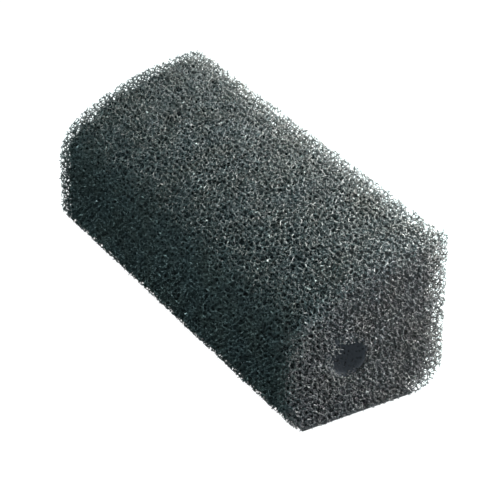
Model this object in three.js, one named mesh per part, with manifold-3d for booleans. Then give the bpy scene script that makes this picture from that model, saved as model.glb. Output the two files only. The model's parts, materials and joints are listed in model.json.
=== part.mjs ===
// Replacement foam cartridge for a pond or aquarium pump's sponge filter.
//
// One block of coarse open-cell foam, lying on its flat underside, with a round blind bore in
// one end that pushes over the pump's inlet pipe. Both long sides are flat. The top is level at
// the right-hand side, falls away to the left in a shallow curve and turns down to the low
// left-hand side over a rounded shoulder.
// The foam is one cut piece with no frame, sleeve or fastener, so it is a single solid.
//
// Millimetres, +Z up. +Y runs along the block, away from the bore's mouth, and +X is to the
// right when the mouth is looked at. The origin is the middle of the face the block rests on.

import * as THREE from 'three';
import { mergeVertices } from 'three/addons/utils/BufferGeometryUtils.js';
import Module from 'manifold-3d';

// Driving dimensions
const BLOCK_WIDTH = 75; // along X
const BLOCK_HEIGHT = 72; // along Z, at the right-hand side
const BLOCK_LENGTH = 205; // along Y
const TOP_RADIUS = 120; // the shallow curve, which leaves the right-hand side square to it
const SHOULDER_RADIUS = 25; // between the shallow curve and the left-hand side
const BOTTOM_LEFT_RADIUS = 11; // the long edges that the block rests between
const BOTTOM_RIGHT_RADIUS = 15;
const END_EDGE_RADIUS = 3; // the edges round each end face
const BORE_DIAMETER = 16;
const BORE_DEPTH = 140; // blind, so that all the water comes through the foam
const BORE_SIDE_OFFSET = -8.5; // the bore is cut left of the middle of the end face
const BORE_HEIGHT = 28; // its axis above the resting face
const FOAM_COLOUR = 0x34383a;
const FOAM_ROUGHNESS = 0.75;

const CURVE_FLATS = 12; // round each curve; the top's must stay wider than END_EDGE_RADIUS
const END_EDGE_STEPS = 5; // flats across an end face's rounded edge
const BORE_SIDES = 48;
const CUTTER_OVERRUN = 5; // how far the bore's cutter starts outside the mouth
const SAME_POINT = 0.001; // points nearer than this are one corner

const wasm = await Module();
wasm.setup();

// A closed three.js geometry as a solid that can be cut.
function toSolid(geometry) {
  const bare = geometry.clone();
  bare.deleteAttribute('normal');
  bare.deleteAttribute('uv');
  const merged = mergeVertices(bare);
  const vertProperties = new Float32Array(merged.attributes.position.array);
  const triVerts = new Uint32Array(merged.index.array);
  return new wasm.Manifold(new wasm.Mesh({ numProp: 3, vertProperties, triVerts }));
}

// A cut solid back as a three.js geometry.
function toGeometry(solid) {
  const mesh = solid.getMesh();
  const geometry = new THREE.BufferGeometry();
  geometry.setAttribute('position', new THREE.BufferAttribute(mesh.vertProperties, 3));
  geometry.setIndex(new THREE.BufferAttribute(mesh.triVerts, 1));
  geometry.computeVertexNormals();
  return geometry;
}

// The corners of the block's cross-section, seen from the mouth, standing on y = 0. The shallow
// curve is struck from straight below the top right corner, and the shoulder touches it and the
// left side.
function sectionCorners() {
  const side = BLOCK_WIDTH / 2;
  const left = BOTTOM_LEFT_RADIUS;
  const right = BOTTOM_RIGHT_RADIUS;
  const quarter = Math.PI / 2;
  const curveMiddle = BLOCK_HEIGHT - TOP_RADIUS;
  const run = BLOCK_WIDTH - SHOULDER_RADIUS;
  const rise = Math.sqrt((TOP_RADIUS - SHOULDER_RADIUS) ** 2 - run ** 2);
  const meeting = Math.atan2(rise, -run);

  const outline = new THREE.Shape();
  outline.moveTo(-side + left, 0);
  outline.lineTo(side - right, 0);
  outline.absarc(side - right, right, right, -quarter, 0);
  outline.lineTo(side, BLOCK_HEIGHT);
  outline.absarc(side, curveMiddle, TOP_RADIUS, quarter, meeting);
  outline.absarc(side - run, curveMiddle + rise, SHOULDER_RADIUS, meeting, 2 * quarter);
  outline.lineTo(-side, left);
  outline.absarc(-side + left, left, left, 2 * quarter, 3 * quarter);

  // three.js doubles the number of flats that it is asked for round an arc. Where two curves meet
  // there are two points in one place, and one of them is left out.
  const points = outline.getPoints(CURVE_FLATS / 2);
  return points.filter((point, i) => point.distanceTo(points.at(i - 1)) > SAME_POINT);
}

// The block before it is bored. The bevel rounds the end faces' edges inwards.
function blockGeometry() {
  const straight = BLOCK_LENGTH - 2 * END_EDGE_RADIUS;
  const geometry = new THREE.ExtrudeGeometry(new THREE.Shape(sectionCorners()), {
    depth: straight,
    bevelEnabled: true,
    bevelThickness: END_EDGE_RADIUS,
    bevelSize: END_EDGE_RADIUS,
    bevelOffset: -END_EDGE_RADIUS,
    bevelSegments: END_EDGE_STEPS,
  });
  geometry.translate(0, 0, -straight / 2);
  geometry.rotateX(Math.PI / 2);
  return geometry;
}

// The round cutter for the blind bore, starting outside the mouth.
function boreCutter() {
  const length = BORE_DEPTH + CUTTER_OVERRUN;
  const radius = BORE_DIAMETER / 2;
  const geometry = new THREE.CylinderGeometry(radius, radius, length, BORE_SIDES);
  const boreEnd = -BLOCK_LENGTH / 2 + BORE_DEPTH;
  geometry.translate(BORE_SIDE_OFFSET, boreEnd - length / 2, BORE_HEIGHT);
  return geometry;
}

function foamBlock() {
  const bored = toSolid(blockGeometry()).subtract(toSolid(boreCutter()));
  const foam = new THREE.MeshStandardMaterial({
    color: FOAM_COLOUR,
    roughness: FOAM_ROUGHNESS,
    metalness: 0,
  });
  const mesh = new THREE.Mesh(toGeometry(bored), foam);
  mesh.name = 'foam_block';
  return mesh;
}

const filter = new THREE.Group();
filter.name = 'sponge_filter';
filter.add(foamBlock());

export default filter;
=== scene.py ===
"""A foam cartridge for a pump's sponge filter: an open-cell foam block with a round blind bore.

The foam is built as the real material is: random cells, with a strut along every edge where
three cells meet and a small knot at every corner where four do. Metres, Z up. +Y runs along the
block, away from the bore's mouth.
"""

import itertools
import json
import math

import bpy
import numpy as np
from mathutils import Matrix, Vector, kdtree


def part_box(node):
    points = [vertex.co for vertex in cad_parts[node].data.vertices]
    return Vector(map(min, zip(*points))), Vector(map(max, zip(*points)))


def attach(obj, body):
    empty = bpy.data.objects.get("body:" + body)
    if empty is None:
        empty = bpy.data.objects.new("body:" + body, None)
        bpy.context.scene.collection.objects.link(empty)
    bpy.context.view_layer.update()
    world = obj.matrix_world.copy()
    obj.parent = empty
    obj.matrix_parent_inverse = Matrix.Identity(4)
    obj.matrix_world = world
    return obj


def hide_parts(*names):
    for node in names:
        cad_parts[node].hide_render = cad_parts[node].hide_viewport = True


MM = 0.001

# The foam. CELL_PITCH is the spacing of a body-centred lattice of cells before they are shaken.
CELL_PITCH = 2.95 * MM
CELL_SHAKE = 0.16  # of the pitch, how far each cell's middle is moved at random
SHELL_DEPTH = 7.5 * MM  # how deep the struts are modelled below each face
LINING_DEPTH = 1.6 * MM  # and how deep round the bore
STRUT_RADIUS = 0.15 * MM  # at a strut's thin middle
THINNEST, THICKEST = 0.8, 1.2  # of that radius, from strut to strut
KNOT_RADIUS = 0.29 * MM
CUT_ROUGHNESS = 0.50 * MM  # how unevenly the cut struts end
SHORTEST_CUT = 0.15  # of the strut's full length
SLICES = 28  # pieces along the block, all with about the same number of triangles
SEED = 7

# The block's section, beside what the frame gives
TOP_RADIUS = 120.0 * MM
SHOULDER_RADIUS = 25.0 * MM
BOTTOM_LEFT_RADIUS = 11.0 * MM
BOTTOM_RIGHT_RADIUS = 15.0 * MM
END_EDGE_RADIUS = 3.0 * MM

# The core, which is the foam too deep to be made out, lies this far below the block's surface
CORE_INSET = SHELL_DEPTH - 3.0 * MM
CORE_OPEN_INSET = SHELL_DEPTH - 1.2 * MM  # below the right side and the near end
CORE_SPACING = 2.5 * MM  # between the points of its surface
CORE_RAGGEDNESS = 0.8 * MM

# The bore's wall
WALL_INSET = 0.3 * MM  # behind the ends of the struts round the bore
WALL_THICKNESS = 1.5 * MM
WALL_START = 4.0 * MM  # behind the mouth's face
WALL_RINGS = 60
ROUND_SIDES = 72  # round the bore's wall and the hole cut for it
ARC_POINTS = 12

# Where four cells meet is looked for among the nearest cells of each cell
NEAREST = 18  # neighbours that can share a corner with it
CHECKED = 34  # neighbours that can rule a corner out
CHECKED_FIRST = 8  # of them, the few that rule most corners out
BATCH = 400  # cells looked at together
TOUCHING = 1e-9  # of a radius: a cell this near to a corner's sphere is on it
FLATTEST = 1e-4  # of the pitch cubed: four cells flatter than this share no corner

SAME_PLACE = 0.1 * MM

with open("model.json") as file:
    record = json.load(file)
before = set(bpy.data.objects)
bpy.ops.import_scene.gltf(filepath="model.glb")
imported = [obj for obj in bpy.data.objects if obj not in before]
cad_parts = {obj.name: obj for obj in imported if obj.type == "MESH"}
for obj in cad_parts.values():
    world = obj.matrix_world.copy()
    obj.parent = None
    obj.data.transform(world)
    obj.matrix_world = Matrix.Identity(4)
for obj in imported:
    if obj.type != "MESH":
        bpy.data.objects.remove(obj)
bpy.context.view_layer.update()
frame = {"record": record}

LOW, HIGH = (np.array(corner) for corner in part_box("foam_block"))
MIDDLE = (LOW + HIGH) / 2
BLOCK_WIDTH, BLOCK_LENGTH = (HIGH - LOW)[:2]

# The middles (X, Z) of the curved top and of the shoulder that joins it to the left-hand side
RUN = BLOCK_WIDTH - SHOULDER_RADIUS
RISE = math.sqrt((TOP_RADIUS - SHOULDER_RADIUS) ** 2 - RUN**2)
TOP_MIDDLE = np.array([HIGH[0], HIGH[2] - TOP_RADIUS])
SHOULDER_MIDDLE = TOP_MIDDLE + (-RUN, RISE)

# Where four cells 0 to 3 meet: the pairs of cells, and for each cell left out, the other three
# and their pairs, which are the three edges of the strut that runs between those three cells.
PAIRS = list(itertools.combinations(range(4), 2))
OTHERS = np.array([[k for k in range(4) if k != left_out] for left_out in range(4)])
STRUT_EDGES = np.array(
    [[PAIRS.index(pair) for pair in itertools.combinations(three, 2)] for three in OTHERS]
)
CELL_FACES = np.array([[i for i, pair in enumerate(PAIRS) if cell in pair] for cell in range(4)])


def measure_bore():
    """The bore's axis (X and Z), its radius and the Y of its end, from the CAD block's mesh."""
    pipe = np.array(frame["record"]["physics"]["openings"][0]["box_m"])
    axis = pipe.mean(axis=0)[[0, 2]]
    points = np.array([point.co for point in bpy.data.objects["foam_block"].data.vertices])
    across = np.linalg.norm(points[:, [0, 2]] - axis, axis=1)
    on_mouth = points[:, 1] < LOW[1] + SAME_PLACE
    radius = across[on_mouth].min()
    return axis, radius, points[across < radius + SAME_PLACE, 1].max()


BORE_AXIS, BORE_RADIUS, BORE_END = measure_bore()


def rounded(depth_a, depth_b, radius):
    """How deep points are inside two faces with a rounded edge, from their depth in each."""
    beyond = np.stack([radius - depth_a, radius - depth_b])
    outside = np.linalg.norm(np.maximum(beyond, 0), axis=0)
    inside = np.minimum(beyond.max(axis=0), 0)
    return radius - outside - inside


def depth_in_block(points):
    """How far each point lies below the block's surface, leaving out the bore; negative outside."""
    x, y, z = points.T
    height = z - LOW[2]
    sides = np.minimum(
        rounded(x - LOW[0], height, BOTTOM_LEFT_RADIUS),
        rounded(HIGH[0] - x, height, BOTTOM_RIGHT_RADIUS),
    )
    top = TOP_RADIUS - np.linalg.norm(points[:, [0, 2]] - TOP_MIDDLE, axis=1)
    across, up = (points[:, [0, 2]] - SHOULDER_MIDDLE).T
    on_shoulder = (up > 0) & (across * RISE < -up * RUN)
    shoulder = np.where(on_shoulder, SHOULDER_RADIUS - np.hypot(across, up), np.inf)
    section = np.minimum(np.minimum(sides, top), shoulder)
    ends = BLOCK_LENGTH / 2 - np.abs(y - MIDDLE[1])
    return rounded(section, ends, END_EDGE_RADIUS)


def distance_from_bore(points):
    """How far each point lies from the bore's wall, negative in the bore."""
    across = np.linalg.norm(points[:, [0, 2]] - BORE_AXIS, axis=1) - BORE_RADIUS
    return np.maximum(across, points[:, 1] - BORE_END)


def depth_in_foam(points):
    """How far each point lies inside the foam, negative outside the block or in the bore."""
    return np.minimum(depth_in_block(points), distance_from_bore(points))


def in_shell(points, margin=0.0):
    """Which points are near enough to a face or to the bore to be seen."""
    near_face = depth_in_block(points) < SHELL_DEPTH + margin
    return near_face | (distance_from_bore(points) < LINING_DEPTH + margin)


def cell_middles(rng):
    """The cells' middles: a body-centred lattice, shaken, wherever the shell needs them."""
    margin = 1.6 * CELL_PITCH  # enough that every strut of the shell has all its cells
    counts = np.ceil((HIGH - LOW + 2 * margin) / CELL_PITCH).astype(int) + 1
    steps = np.stack(np.meshgrid(*map(np.arange, counts), indexing="ij"), axis=-1)
    corners = steps.reshape(-1, 3) * CELL_PITCH
    lattice = np.concatenate([corners, corners + CELL_PITCH / 2]) + LOW - margin
    lattice += rng.normal(0, CELL_SHAKE * CELL_PITCH, lattice.shape)
    lattice = lattice[(depth_in_foam(lattice) > -margin) & in_shell(lattice, margin)]
    return lattice[np.argsort(lattice[:, 1])]


def nearest_cells(cells, count):
    """For each cell, its nearest other cells, nearest first."""
    tree = kdtree.KDTree(len(cells))
    for i, cell in enumerate(cells):
        tree.insert(cell, i)
    tree.balance()
    return np.array([[i for _, i, _ in tree.find_n(cell, count + 1)][1:] for cell in cells])


def sphere_centres(b, c, d):
    """The centre of the sphere through the origin and three points, and whether it is sound."""
    bc, cd, db = np.cross(b, c), np.cross(c, d), np.cross(d, b)
    volume = 2 * (b * cd).sum(axis=1)
    sound = np.abs(volume) > FLATTEST * CELL_PITCH**3
    squares = [(v * v).sum(axis=1)[:, None] for v in (b, c, d)]
    centre = squares[0] * cd + squares[1] * db + squares[2] * bc
    return centre / np.where(sound, volume, 1)[:, None], sound


def cell_corners(cells):
    """Where four cells meet: each corner's four cells, in rising order, and its place.

    Four cells share a corner if the sphere through their middles holds no other cell's middle.
    Each four is looked for once, among the nearest neighbours of its lowest-numbered cell."""
    near = nearest_cells(cells, CHECKED)
    triples = np.array(list(itertools.combinations(range(NEAREST), 3)))
    fours, places = [], []
    for start in range(0, len(cells), BATCH):
        first = np.arange(start, min(start + BATCH, len(cells)))
        three = near[first][:, triples]
        rows, columns = np.nonzero((three > first[:, None, None]).all(axis=2))
        a, three = first[rows], three[rows, columns]
        centre, sound = sphere_centres(*(cells[three[:, k]] - cells[a] for k in range(3)))
        radius = np.linalg.norm(centre, axis=1)
        found = sound & (radius < CELL_PITCH)
        a, three, centre, radius = a[found], three[found], centre[found], radius[found]
        for group in (slice(0, CHECKED_FIRST), slice(CHECKED_FIRST, CHECKED)):
            others = cells[near[a][:, group]] - cells[a][:, None]
            gap = np.linalg.norm(others - centre[:, None], axis=2)
            empty = (gap > radius[:, None] * (1 - TOUCHING)).all(axis=1)
            a, three, centre, radius = a[empty], three[empty], centre[empty], radius[empty]
        fours.append(np.sort(np.column_stack([a, three]), axis=1))
        places.append(centre + cells[a])
    return np.concatenate(fours), np.concatenate(places)


def unit(vectors):
    """Vectors made one long, those of no length left as they are."""
    return vectors / np.maximum(np.linalg.norm(vectors, axis=-1, keepdims=True), 1e-12)


class Parts:
    """Points and triangles, gathered part by part."""

    def __init__(self):
        self.points = np.zeros((0, 3))
        self.triangles = np.zeros((0, 3), int)

    def add_rings(self, rings):
        """Adds rings of points, and gives their indices in the same arrangement."""
        index = len(self.points) + np.arange(rings.shape[0] * rings.shape[1])
        self.points = np.concatenate([self.points, rings.reshape(-1, 3)])
        return index.reshape(rings.shape[:2])

    def add(self, triangles):
        self.triangles = np.concatenate([self.triangles, triangles])

    def add_sides(self, ring_a, ring_b):
        """The three sides of a strut between two three-point rings that turn the same way."""
        for k in range(3):
            n = (k + 1) % 3
            self.add(np.column_stack([ring_a[:, k], ring_a[:, n], ring_b[:, n]]))
            self.add(np.column_stack([ring_a[:, k], ring_b[:, n], ring_b[:, k]]))

    def add_facing(self, triangles, outward):
        """Triangles, each turned over if it faces away from its outward direction."""
        a, b, c = (self.points[triangles[:, k]] for k in range(3))
        away = (np.cross(b - a, c - a) * outward).sum(axis=1) < 0
        self.add(np.where(away[:, None], triangles[:, ::-1], triangles))


def joined_ends(fours, cell_count):
    """Every strut, as its two ends. An end is four times its corner's number, plus which of the
    corner's four cells the strut doesn't touch."""
    threes = fours[:, OTHERS].reshape(-1, 3).astype(np.int64)
    keys = (threes[:, 0] * cell_count + threes[:, 1]) * cell_count + threes[:, 2]
    order = np.argsort(keys, kind="stable")
    same = np.nonzero(keys[order][1:] == keys[order][:-1])[0]
    return order[same], order[same + 1]


def strut_edges_out(three):
    """Which way a strut's three edges lie from its middle line, from its three cells' middles.
    Each edge runs between two of the cells, away from the third."""
    a, b, c = three[:, 0], three[:, 1], three[:, 2]
    return unit(np.stack([a + b - 2 * c, a + c - 2 * b, b + c - 2 * a], axis=1))


def foam_network(rng):
    """The whole foam: a knot of six points at each corner, and a three-sided strut with a thin
    middle between each two knots. Struts that reach out of the foam are cut off at its surface."""
    cells = cell_middles(rng)
    fours, places = cell_corners(cells)
    middles = cells[fours]
    depth = depth_in_foam(places)
    kept = (depth > 0) & in_shell(places)
    foam = Parts()

    pair_middles = np.stack([middles[:, i] + middles[:, j] for i, j in PAIRS], axis=1)
    out_from_corner = unit(2 * pair_middles - middles.sum(axis=1)[:, None])
    knots = np.zeros((len(places), len(PAIRS)), int)
    knots[kept] = foam.add_rings(places[kept, None] + KNOT_RADIUS * out_from_corner[kept])

    def knot_ring(ends):
        """The three of a knot's points that the strut at each end joins."""
        return knots[ends // 4][np.arange(len(ends))[:, None], STRUT_EDGES[ends % 4]]

    end_a, end_b = joined_ends(fours, len(cells))
    row = np.arange(len(end_a))[:, None]
    out = strut_edges_out(middles[end_a // 4][row, OTHERS[end_a % 4]])
    along = places[end_b // 4] - places[end_a // 4]
    turned = (np.cross(out[:, 0], out[:, 1]) * along).sum(axis=1) < 0
    end_a, end_b = np.where(turned, end_b, end_a), np.where(turned, end_a, end_b)

    # Whole struts
    whole = kept[end_a // 4] & kept[end_b // 4]
    a, b = end_a[whole], end_b[whole]
    radius = STRUT_RADIUS * rng.uniform(THINNEST, THICKEST, len(a))
    middle = (places[a // 4] + places[b // 4]) / 2
    ring = foam.add_rings(middle[:, None] + radius[:, None, None] * out[whole])
    foam.add_sides(knot_ring(a), ring)
    foam.add_sides(ring, knot_ring(b))
    joined = [a, b]

    # Struts cut off at a face or at the bore's wall
    for inner, outer, forwards in ((end_a, end_b, True), (end_b, end_a, False)):
        cut = kept[inner // 4] & (depth[outer // 4] <= 0)
        i, o = inner[cut] // 4, outer[cut] // 4
        reach = np.linalg.norm(places[o] - places[i], axis=1)
        share = depth[i] / (depth[i] - depth[o]) + rng.normal(0, CUT_ROUGHNESS, len(i)) / reach
        tip = places[i] + np.clip(share, SHORTEST_CUT, 1)[:, None] * (places[o] - places[i])
        ring = foam.add_rings(tip[:, None] + STRUT_RADIUS * out[cut])
        root = knot_ring(inner[cut])
        if forwards:
            foam.add_sides(root, ring)
            foam.add(ring)
        else:
            foam.add_sides(ring, root)
            foam.add(ring[:, ::-1])
        joined.append(inner[cut])

    # Knots: the faces towards their cells, and lids where a deep strut isn't modelled
    corners = np.nonzero(kept)[0]
    for cell in range(4):
        face = knots[corners][:, CELL_FACES[cell]]
        foam.add_facing(face, middles[corners, cell] - places[corners])
    bare = np.repeat(kept, 4)
    bare[np.concatenate(joined)] = False
    bare = np.nonzero(bare)[0]
    foam.add_facing(knot_ring(bare), places[bare // 4] - middles[bare // 4, bare % 4])
    return foam


def mesh_piece(name, points, faces, material):
    """A smooth-shaded piece that rides on the block, with only the points its faces use."""
    used, index = np.unique(faces, return_inverse=True)
    corners = faces.shape[1]
    mesh = bpy.data.meshes.new(name)
    mesh.vertices.add(len(used))
    mesh.vertices.foreach_set("co", points[used].astype(np.float32).ravel())
    mesh.loops.add(faces.size)
    mesh.loops.foreach_set("vertex_index", index.astype(np.int32).ravel())
    mesh.polygons.add(len(faces))
    mesh.polygons.foreach_set("loop_start", np.arange(0, faces.size, corners, dtype=np.int32))
    mesh.polygons.foreach_set("use_smooth", np.ones(len(faces), bool))
    mesh.update(calc_edges=True)
    mesh.materials.append(material)
    piece = bpy.data.objects.new(name, mesh)
    bpy.context.collection.objects.link(piece)
    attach(piece, "root")
    return piece


class Nodes:
    """A material's node tree, with short ways to add the nodes that these materials use."""

    def __init__(self, material):
        material.use_nodes = True
        self.tree = material.node_tree
        self.shader = self.tree.nodes["Principled BSDF"]
        self.place = self.tree.nodes.new("ShaderNodeTexCoord").outputs["Object"]

    def link(self, output, node, name):
        self.tree.links.new(output, node.inputs[name])

    def noise(self, size, detail=2.0):
        """Noise whose blotches are about this size across."""
        node = self.tree.nodes.new("ShaderNodeTexNoise")
        node.inputs["Scale"].default_value = 1 / size
        node.inputs["Detail"].default_value = detail
        self.link(self.place, node, "Vector")
        return node.outputs["Fac"]

    def ramp(self, factor, *stops):
        """Colours along a factor, each stop a position and a linear colour."""
        node = self.tree.nodes.new("ShaderNodeValToRGB")
        elements = node.color_ramp.elements
        while len(elements) < len(stops):
            elements.new(0.5)
        for element, (position, colour) in zip(elements, stops):
            element.position = position
            element.color = (*colour, 1)
        self.link(factor, node, "Fac")
        return node.outputs["Color"]

    def spread(self, factor, low, high):
        """A factor whose middle half is spread from low to high."""
        node = self.tree.nodes.new("ShaderNodeMapRange")
        node.inputs["From Min"].default_value = 0.25
        node.inputs["From Max"].default_value = 0.75
        node.inputs["To Min"].default_value = low
        node.inputs["To Max"].default_value = high
        self.link(factor, node, "Value")
        return node.outputs["Result"]

    def product(self, colour, other):
        """A colour times another colour or a factor."""
        node = self.tree.nodes.new("ShaderNodeVectorMath")
        node.operation = "MULTIPLY"
        self.link(colour, node, 0)
        self.link(other, node, 1)
        return node.outputs["Vector"]

    def specks(self, size, share):
        """One inside scattered specks of about this size that fill a share of space, else zero."""
        cells = self.tree.nodes.new("ShaderNodeTexVoronoi")
        cells.inputs["Scale"].default_value = 1 / size
        self.link(self.place, cells, "Vector")
        split = self.tree.nodes.new("ShaderNodeSeparateColor")
        self.link(cells.outputs["Color"], split, "Color")
        chosen = self.tree.nodes.new("ShaderNodeMath")
        chosen.operation = "LESS_THAN"
        chosen.inputs[1].default_value = share
        self.link(split.outputs["Red"], chosen, 0)
        return chosen.outputs["Value"]

    def rise_along_x(self, start, end, highest):
        """A factor that rises from zero to its highest between two X."""
        split = self.tree.nodes.new("ShaderNodeSeparateXYZ")
        self.link(self.place, split, "Vector")
        node = self.tree.nodes.new("ShaderNodeMapRange")
        node.inputs["From Min"].default_value = start
        node.inputs["From Max"].default_value = end
        node.inputs["To Max"].default_value = highest
        self.link(split.outputs["X"], node, "Value")
        return node.outputs["Result"]

    def mixed(self, factor, colour, other):
        """A colour where the factor is zero, another fixed colour where it is one."""
        node = self.tree.nodes.new("ShaderNodeMixRGB")
        node.inputs["Color2"].default_value = (*other, 1)
        self.link(factor, node, "Fac")
        self.link(colour, node, "Color1")
        return node.outputs["Color"]

    def nearness(self, middle, reach):
        """One at a place, falling to zero at a reach along X, Y and Z."""
        local = self.tree.nodes.new("ShaderNodeMapping")
        local.vector_type = "TEXTURE"
        local.inputs["Location"].default_value = middle
        local.inputs["Scale"].default_value = reach
        self.link(self.place, local, "Vector")
        falloff = self.tree.nodes.new("ShaderNodeTexGradient")
        falloff.gradient_type = "SPHERICAL"
        self.link(local.outputs["Vector"], falloff, "Vector")
        return falloff.outputs["Fac"]

    def bump(self, height, depth, strength):
        """Bumps of a depth on the whole material."""
        node = self.tree.nodes.new("ShaderNodeBump")
        node.inputs["Distance"].default_value = depth
        node.inputs["Strength"].default_value = strength
        self.link(height, node, "Height")
        self.link(node.outputs["Normal"], self.shader, "Normal")


# Painted glints: pale specks mixed into the struts' colour here and there
GLINT_SIZE, GLINT_SHARE = 0.9 * MM, 0.004
PAINTED_GLINT_COLOUR = (0.35, 0.38, 0.37)
# Painted light: the right-hand side's struts blend towards a pale warm colour, for the light that
# shows through the thin foam at that edge
LIT_SIDE_WIDTH, LIT_SIDE_SHARE = 20 * MM, 0.2
PAINTED_SIDE_LIGHT_COLOUR = (0.12, 0.107, 0.093)


def foam_material():
    """Charcoal foam: struts that differ a little in shade and gloss, drifts of warmer and cooler
    colour, painted light that makes the right-hand side's struts paler and warmer, and painted
    glints: pale specks scattered here and there on the struts."""
    material = bpy.data.materials.new("filter_foam")
    nodes = Nodes(material)
    struts = nodes.ramp(
        nodes.noise(1.3 * MM),
        (0.30, (0.024, 0.028, 0.029)),
        (0.55, (0.038, 0.043, 0.043)),
        (0.75, (0.068, 0.073, 0.073)),
    )
    shade = nodes.spread(nodes.noise(22 * MM, detail=1.0), 0.85, 1.15)
    tint = nodes.ramp(
        nodes.noise(13 * MM, detail=1.0),
        (0.35, (0.95, 1.00, 1.04)),
        (0.65, (1.05, 1.00, 0.94)),
    )
    struts = nodes.product(nodes.product(struts, shade), tint)
    # Painted light: paler, warmer struts towards the right-hand side
    painted_side_light = nodes.rise_along_x(HIGH[0] - LIT_SIDE_WIDTH, HIGH[0], LIT_SIDE_SHARE)
    struts = nodes.mixed(painted_side_light, struts, PAINTED_SIDE_LIGHT_COLOUR)
    # Painted glints: pale specks in the struts' colour
    colour = nodes.mixed(nodes.specks(GLINT_SIZE, GLINT_SHARE), struts, PAINTED_GLINT_COLOUR)
    nodes.link(colour, nodes.shader, "Base Color")
    nodes.link(nodes.spread(nodes.noise(0.9 * MM), 0.22, 0.42), nodes.shader, "Roughness")
    nodes.shader.inputs["Specular IOR Level"].default_value = 0.7
    nodes.bump(nodes.noise(0.16 * MM), 0.03 * MM, 0.5)
    return material


DEEP_GLOW, NEAR_GLOW = 0.002, 0.045
GLOW_REACH = (80 * MM, 70 * MM, 80 * MM)
WALL_GLOW = 0.028


def deep_material():
    """The foam that is too deep to be made out, coloured near-black as painted shade for the little
    light that reaches so deep. Its faint glow, strongest by the near end's right edge, stands for
    the light that a real open foam lets through from its other faces."""
    material = bpy.data.materials.new("deep_foam")
    nodes = Nodes(material)
    colour = nodes.ramp(
        nodes.noise(2.0 * MM),
        (0.35, (0.003, 0.004, 0.0045)),
        (0.65, (0.009, 0.011, 0.012)),
    )
    nodes.link(colour, nodes.shader, "Base Color")
    nodes.link(nodes.spread(nodes.noise(3.0 * MM), 0.85, 1.0), nodes.shader, "Roughness")
    nodes.shader.inputs["Specular IOR Level"].default_value = 0.1
    nodes.shader.inputs["Emission Color"].default_value = (0.9, 1.0, 1.0, 1)
    corner = HIGH[0], LOW[1], MIDDLE[2]
    glow = nodes.spread(nodes.nearness(corner, GLOW_REACH), DEEP_GLOW, NEAR_GLOW)
    nodes.link(glow, nodes.shader, "Emission Strength")
    nodes.bump(nodes.noise(1.5 * MM), 0.4 * MM, 0.7)
    return material


def wall_material():
    """The bore's wall, a dull dark blue-grey sheet put behind the struts round the bore: painted
    shade for the foam there, which lies in shade. Its faint glow stands for the light that comes
    into the bore through the foam."""
    material = bpy.data.materials.new("bore_wall")
    nodes = Nodes(material)
    colour = nodes.ramp(
        nodes.noise(1.6 * MM),
        (0.35, (0.007, 0.009, 0.010)),
        (0.65, (0.012, 0.015, 0.017)),
    )
    nodes.link(colour, nodes.shader, "Base Color")
    nodes.link(nodes.spread(nodes.noise(1.2 * MM), 0.7, 0.95), nodes.shader, "Roughness")
    nodes.shader.inputs["Specular IOR Level"].default_value = 0.2
    nodes.shader.inputs["Emission Color"].default_value = (0.80, 0.97, 1.15, 1)
    nodes.shader.inputs["Emission Strength"].default_value = WALL_GLOW
    nodes.bump(nodes.noise(0.9 * MM), 0.25 * MM, 0.6)
    return material


def build_foam():
    """The foam's network, cut into slices along the block."""
    foam = foam_network(np.random.default_rng(SEED))
    material = foam_material()
    foam.points[:, 2] = np.maximum(foam.points[:, 2], LOW[2])  # pressed level by what it rests on
    order = np.argsort(foam.points[foam.triangles[:, 0], 1], kind="stable")
    slices = [
        mesh_piece(f"foam_slice_{k + 1:02d}", foam.points, foam.triangles[part], material)
        for k, part in enumerate(np.array_split(order, SLICES))
    ]
    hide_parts("foam_block")


def lathe(profile, turns):
    """The points and quads of a closed profile of (radius, Y) pairs, turned about the bore."""
    angles = np.linspace(0, 2 * np.pi, turns, endpoint=False)
    radius, along = np.array(profile).T
    x = BORE_AXIS[0] + np.outer(np.cos(angles), radius)
    z = BORE_AXIS[1] + np.outer(np.sin(angles), radius)
    points = np.stack([x, np.broadcast_to(along, x.shape), z], axis=-1).reshape(-1, 3)
    index = np.arange(x.size).reshape(x.shape)
    here, after = index, np.roll(index, -1, axis=0)
    quads = np.stack([here, after, np.roll(after, -1, axis=1), np.roll(here, -1, axis=1)], axis=-1)
    return points, quads.reshape(-1, 4)


def build_bore_wall():
    """A thin-walled blind tube just behind the struts round the bore."""
    inner = BORE_RADIUS + WALL_INSET
    outer = inner + WALL_THICKNESS
    start, end = LOW[1] + WALL_START, BORE_END + WALL_INSET
    axis = 0.02 * MM  # the blind end closes to this radius
    inside = [(inner, y) for y in np.linspace(start, end, WALL_RINGS)]
    outside = [(outer, y) for y in np.linspace(end + WALL_THICKNESS, start, WALL_RINGS)]
    profile = [*inside, (axis, end), (axis, end + WALL_THICKNESS), *outside]
    points, quads = lathe(profile, ROUND_SIDES)
    mesh_piece("bore_wall", points, quads, wall_material())


def arc(middle, radius, start, end):
    """Points (x, z) round part of a circle, between two angles from +X."""
    angles = np.linspace(start, end, ARC_POINTS)
    return middle + radius * np.column_stack([np.cos(angles), np.sin(angles)])


def core_section(inset, right_inset):
    """The block's section, drawn in by an inset and by another at the right: points (x, z) from
    the bottom left, rightwards."""
    right = HIGH[0] - right_inset
    foot = np.array([(LOW[0] + inset, LOW[2] + inset), (right, LOW[2] + inset)])
    meeting = math.atan2(RISE, -RUN)
    start = math.acos((right - TOP_MIDDLE[0]) / (TOP_RADIUS - inset))
    top = arc(TOP_MIDDLE, TOP_RADIUS - inset, start, meeting)
    shoulder = arc(SHOULDER_MIDDLE, SHOULDER_RADIUS - inset, meeting, math.pi)
    return np.concatenate([foot, top, shoulder[1:]])


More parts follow.
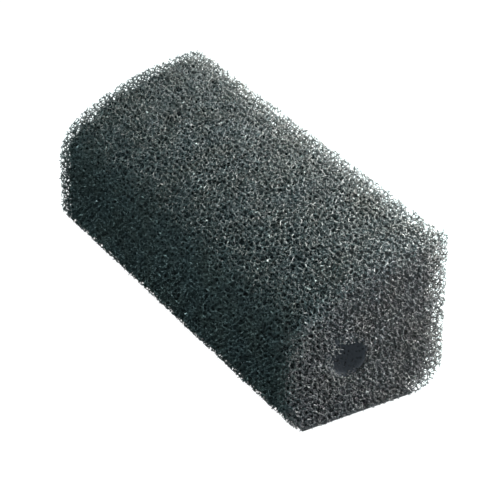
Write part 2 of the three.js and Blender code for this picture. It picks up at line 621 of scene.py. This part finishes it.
def spaced(outline, spacing):
    """Evenly spaced points round a closed outline."""
    closed = np.concatenate([outline, outline[:1]])
    run = np.insert(np.linalg.norm(np.diff(closed, axis=0), axis=1).cumsum(), 0, 0)
    steps = np.linspace(0, run[-1], round(run[-1] / spacing), endpoint=False)
    return np.column_stack([np.interp(steps, run, closed[:, k]) for k in range(2)])


def build_core():
    """The foam too deep to be seen, as a plain dark mass that closes off the view: painted shade,
    put where the deep foam lies in shade. Its surface is ragged, so that no straight edge shows
    through the struts."""
    section = spaced(core_section(CORE_INSET, CORE_OPEN_INSET), CORE_SPACING)
    ends = LOW[1] + CORE_OPEN_INSET, HIGH[1] - CORE_INSET
    along = np.linspace(*ends, round((ends[1] - ends[0]) / CORE_SPACING))
    rings = np.array([[(x, y, z) for x, z in section] for y in along])
    rings += np.random.default_rng(SEED).normal(0, CORE_RAGGEDNESS, rings.shape)
    index = np.arange(len(along) * len(section)).reshape(len(along), -1)
    after = np.roll(index, -1, axis=1)
    sides = np.stack([after[:-1], after[1:], index[1:], index[:-1]], axis=-1).reshape(-1, 4)
    centres = [ring.mean(axis=0) for ring in (rings[0], rings[-1])]
    near, far = index.size, index.size + 1
    caps = [(near, a, b) for a, b in zip(index[0].tolist(), after[0].tolist())]
    caps += [(far, b, a) for a, b in zip(index[-1].tolist(), after[-1].tolist())]
    mesh = bpy.data.meshes.new("foam_core")
    mesh.from_pydata([*rings.reshape(-1, 3).tolist(), *centres], [], [*sides.tolist(), *caps])
    core = bpy.data.objects.new("foam_core", mesh)
    bpy.context.collection.objects.link(core)
    cut_bore(core)
    mesh.materials.append(deep_material())
    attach(core, "root")


def cut_bore(core):
    """Cuts room for the bore's wall through the core."""
    depth = BORE_END + WALL_INSET - LOW[1]
    bpy.ops.mesh.primitive_cylinder_add(
        vertices=ROUND_SIDES,
        radius=BORE_RADIUS + WALL_INSET + WALL_THICKNESS / 2,
        depth=depth,
        location=(BORE_AXIS[0], LOW[1] + depth / 2, BORE_AXIS[1]),
        rotation=(math.pi / 2, 0, 0),
    )
    cutter = bpy.context.object
    cut = core.modifiers.new("bore", "BOOLEAN")
    cut.object = cutter
    bpy.context.view_layer.objects.active = core
    bpy.ops.object.modifier_apply(modifier="bore")
    bpy.data.objects.remove(cutter)


# The camera's place: from the left, in front and above, with a long lens
CAMERA_AZIMUTH = math.radians(-120.9)  # from +X
CAMERA_ELEVATION = math.radians(30.6)
CAMERA_DISTANCE = 952 * MM
CAMERA_LENS = 157.6  # millimetres, for a 36 mm wide sensor
AIM_RIGHT, AIM_UP = 4.35 * MM, -9.35 * MM  # from the block's middle, as the camera sees it


def add_camera():
    """Sets the camera in its place and makes it the scene's."""
    level = math.cos(CAMERA_ELEVATION)
    back = Vector((
        level * math.cos(CAMERA_AZIMUTH),
        level * math.sin(CAMERA_AZIMUTH),
        math.sin(CAMERA_ELEVATION),
    ))
    turn = back.to_track_quat("Z", "Y")
    aim = Vector(MIDDLE) + turn @ Vector((AIM_RIGHT, AIM_UP, 0))
    data = bpy.data.cameras.new("camera")
    data.sensor_width = 36
    data.lens = CAMERA_LENS
    camera = bpy.data.objects.new("camera", data)
    camera.matrix_world = Matrix.LocRotScale(aim + back * CAMERA_DISTANCE, turn, None)
    bpy.context.collection.objects.link(camera)
    bpy.context.scene.camera = camera


SURROUND = (0.03, 0.06, 0.06)  # what the surround lights the foam with: dim and bluish green
SHADE_COLOUR = (0.05, 0.06, 0.06)
LEFT_SHADE, OTHER_SHADE = 0.68, 0.9  # of an edge's radius, how far in from it the floor is dark
FLOOR_REACH = 4.0
FLOOR_DROP, SHADE_DROP = 0.5 * MM, 0.3 * MM  # below the block
GROUND_ROUGHNESS = 0.9


def add_floor():
    """A floor that is white to the camera, dim to the foam and dark under the block."""
    material = bpy.data.materials.new("floor")
    nodes = Nodes(material)
    nodes.shader.inputs["Base Color"].default_value = (*SURROUND, 1)
    nodes.shader.inputs["Roughness"].default_value = GROUND_ROUGHNESS
    nodes.shader.inputs["Emission Color"].default_value = (1, 1, 1, 1)
    path = nodes.tree.nodes.new("ShaderNodeLightPath")
    nodes.link(path.outputs["Is Camera Ray"], nodes.shader, "Emission Strength")
    reach = (-FLOOR_REACH, FLOOR_REACH)
    add_ground("floor", reach, reach, FLOOR_DROP, material)

    shade = bpy.data.materials.new("floor_shade")
    shade_nodes = Nodes(shade)
    shade_nodes.shader.inputs["Base Color"].default_value = (*SHADE_COLOUR, 1)
    shade_nodes.shader.inputs["Roughness"].default_value = GROUND_ROUGHNESS
    add_ground(
        "floor_shade",
        (LOW[0] + LEFT_SHADE * BOTTOM_LEFT_RADIUS, HIGH[0] - OTHER_SHADE * BOTTOM_RIGHT_RADIUS),
        (LOW[1] + OTHER_SHADE * END_EDGE_RADIUS, HIGH[1] - OTHER_SHADE * END_EDGE_RADIUS),
        SHADE_DROP,
        shade,
    )


def add_ground(name, across, along, drop, material):
    """A level sheet between two X and two Y, a little below the block."""
    z = LOW[2] - drop
    corners = [(across[i], along[j], z) for i, j in ((0, 0), (1, 0), (1, 1), (0, 1))]
    mesh = bpy.data.meshes.new(name)
    mesh.from_pydata(corners, [], [(0, 1, 2, 3)])
    mesh.materials.append(material)
    sheet = bpy.data.objects.new(name, mesh)
    bpy.context.collection.objects.link(sheet)


def add_surround():
    """The backdrop, white to the camera."""
    world = bpy.data.worlds.new("studio")
    bpy.context.scene.world = world
    world.use_nodes = True
    nodes, links = world.node_tree.nodes, world.node_tree.links
    path = nodes.new("ShaderNodeLightPath")
    mix = nodes.new("ShaderNodeMix")
    mix.data_type = "RGBA"
    mix.inputs["A"].default_value = (*SURROUND, 1)
    mix.inputs["B"].default_value = (1, 1, 1, 1)
    links.new(path.outputs["Is Camera Ray"], mix.inputs["Factor"])
    links.new(mix.outputs["Result"], nodes["Background"].inputs["Color"])


# Each lamp's name, place and width in metres, power in watts and colour
LAMPS = (
    ("key", (0.30, -0.15, 0.30), 0.2, 11.8, (0.98, 1.00, 0.96)),
    ("front", (0.30, -0.60, 0.15), 0.4, 10.2, (0.96, 0.90, 0.96)),
    ("left", (-0.30, -0.10, 0.60), 0.2, 5.4, (0.68, 1.00, 1.02)),
    ("back", (0.50, 0.95, 0.45), 0.6, 4, (1.00, 0.94, 0.88)),
)


def add_lamp(name, place, width, power, colour):
    """A soft square lamp, aimed at the block."""
    data = bpy.data.lights.new(name, "AREA")
    data.size = width
    data.energy = power
    data.color = colour
    lamp = bpy.data.objects.new(name, data)
    lamp.location = place
    lamp.rotation_euler = (Vector(MIDDLE) - Vector(place)).to_track_quat("-Z", "Y").to_euler()
    bpy.context.collection.objects.link(lamp)
    lamp.visible_camera = False


build_foam()
build_bore_wall()
build_core()
add_camera()
add_floor()
add_surround()
for lamp in LAMPS:
    add_lamp(*lamp)
bpy.context.scene.view_settings.view_transform = "Standard"
